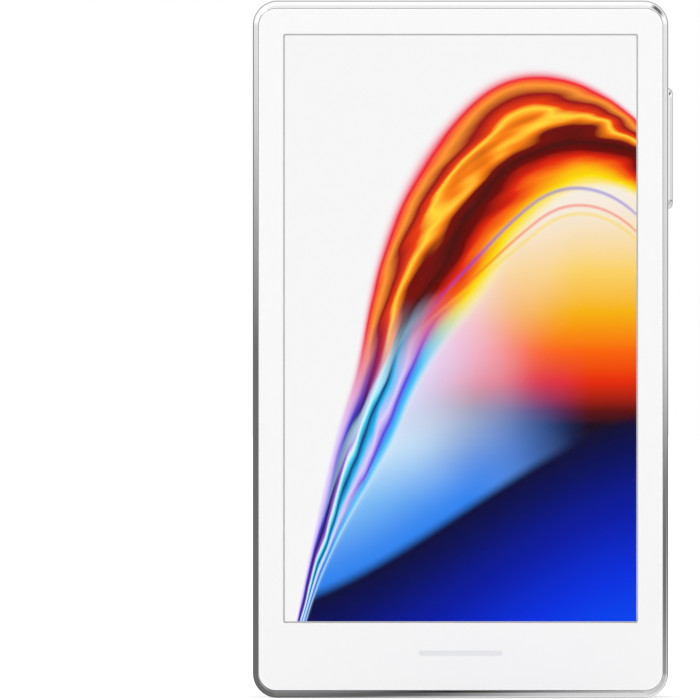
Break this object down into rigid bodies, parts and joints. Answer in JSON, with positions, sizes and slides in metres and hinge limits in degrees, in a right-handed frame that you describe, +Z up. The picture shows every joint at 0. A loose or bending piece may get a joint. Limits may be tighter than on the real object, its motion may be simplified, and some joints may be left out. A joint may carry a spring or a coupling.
{
  "type": "handheld touchscreen device",
  "caption": "Pocket touchscreen handheld: polished metal side frame between white front and rear glass, colour display, rear camera and light, side button and charging port.",
  "frame": {"origin": "centre of the charging port's mouth, in the middle of the flat bottom edge and of the thickness", "axes": "+Z up along the height, +X to the right seen from the front (the button's side), +Y to the rear; the display faces -Y"},
  "size_m": [0.0543, 0.009, 0.09],
  "materials": {
    "polished_steel": "mirror polished",
    "cover_glass": "clear, polished",
    "white_print": "white ink under glass",
    "white_glass": "glass printed white inside, glossy",
    "display": "lit picture under glass",
    "touch_film": "clear coated glass",
    "diffuser": "white diffuser",
    "sheet_steel": "stamped, satin",
    "tin_plate": "tinned, satin",
    "screw_steel": "zinc plated",
    "circuit_board": "green solder mask",
    "chip_black": "moulded epoxy",
    "black_plastic": "fine matt",
    "flex_amber": "amber film with traces",
    "tape_dark": "double-sided tape",
    "foam_dark": "fine closed-cell foam",
    "seal_rubber": "soft seal",
    "pouch_foil": "foil pouch",
    "ferrite": "flat ferrite film",
    "copper_wire": "enamelled copper",
    "carrier_plastic": "moulded resin",
    "ring_pale": "pale, glossy",
    "camera_black": "deep black, glossy",
    "lens_glass": "coated lens",
    "phosphor": "yellow phosphor behind a clear window",
    "weight_metal": "sintered heavy metal"
  },
  "bodies": {
    "housing": {"side_frame": "polished_steel", "front_glass": "cover_glass", "front_print": "white_print", "front_gasket": "tape_dark", "touch_sensor": "touch_film", "lcd_cell": "display", "backlight": "diffuser", "display_foam": "foam_dark", "display_flex": "flex_amber", "display_connector": "chip_black", "mid_plate": "sheet_steel", "plate_screws": "screw_steel", "main_board": "circuit_board", "processor": "chip_black", "memory_chip": "chip_black", "power_chip": "chip_black", "radio_chip": "chip_black", "secure_chips": "chip_black", "processor_shield": "tin_plate", "radio_shield": "tin_plate", "board_screws": "screw_steel", "port_board": "circuit_board", "usb_shell": "sheet_steel", "usb_tongue": "black_plastic", "usb_gasket": "seal_rubber", "link_flex": "flex_amber", "link_connectors": "chip_black", "battery_cell": "pouch_foil", "battery_adhesive": "tape_dark", "protection_board": "circuit_board", "battery_connector": "chip_black", "battery_lead": "flex_amber", "ferrite_sheet": "ferrite", "charging_coil": "copper_wire", "antenna_carrier": "carrier_plastic", "antenna_flex": "flex_amber", "camera_module": "black_plastic", "camera_barrel": "black_plastic", "camera_lens": "lens_glass", "camera_foam": "foam_dark", "camera_flex": "flex_amber", "camera_ring": "ring_pale", "camera_cover": "camera_black", "flash_led": "phosphor", "flash_base": "circuit_board", "flash_lens": "phosphor", "side_switch": "tin_plate", "side_key_flex": "flex_amber", "button_bracket": "sheet_steel", "motor_case": "sheet_steel", "motor_base": "black_plastic", "motor_shaft": "screw_steel", "back_gasket": "tape_dark", "back_glass": "white_glass"},
    "button": {"power_button": "polished_steel", "switch_plunger": "black_plastic"},
    "rotor": {"motor_rotor": "weight_metal"}
  },
  "joints": [
    {"name": "button_press", "type": "slide", "parent": "housing", "child": "button", "axis": [-1, 0, 0], "range_m": [0, 0.00035], "stiffness_N_per_m": 3000, "springref_m": -0.0001},
    {"name": "rotor_spin", "type": "hinge", "parent": "housing", "child": "rotor", "pos_m": [-0.0165, 0, 0.008], "axis": [0, 1, 0], "continuous": true}
  ]
}
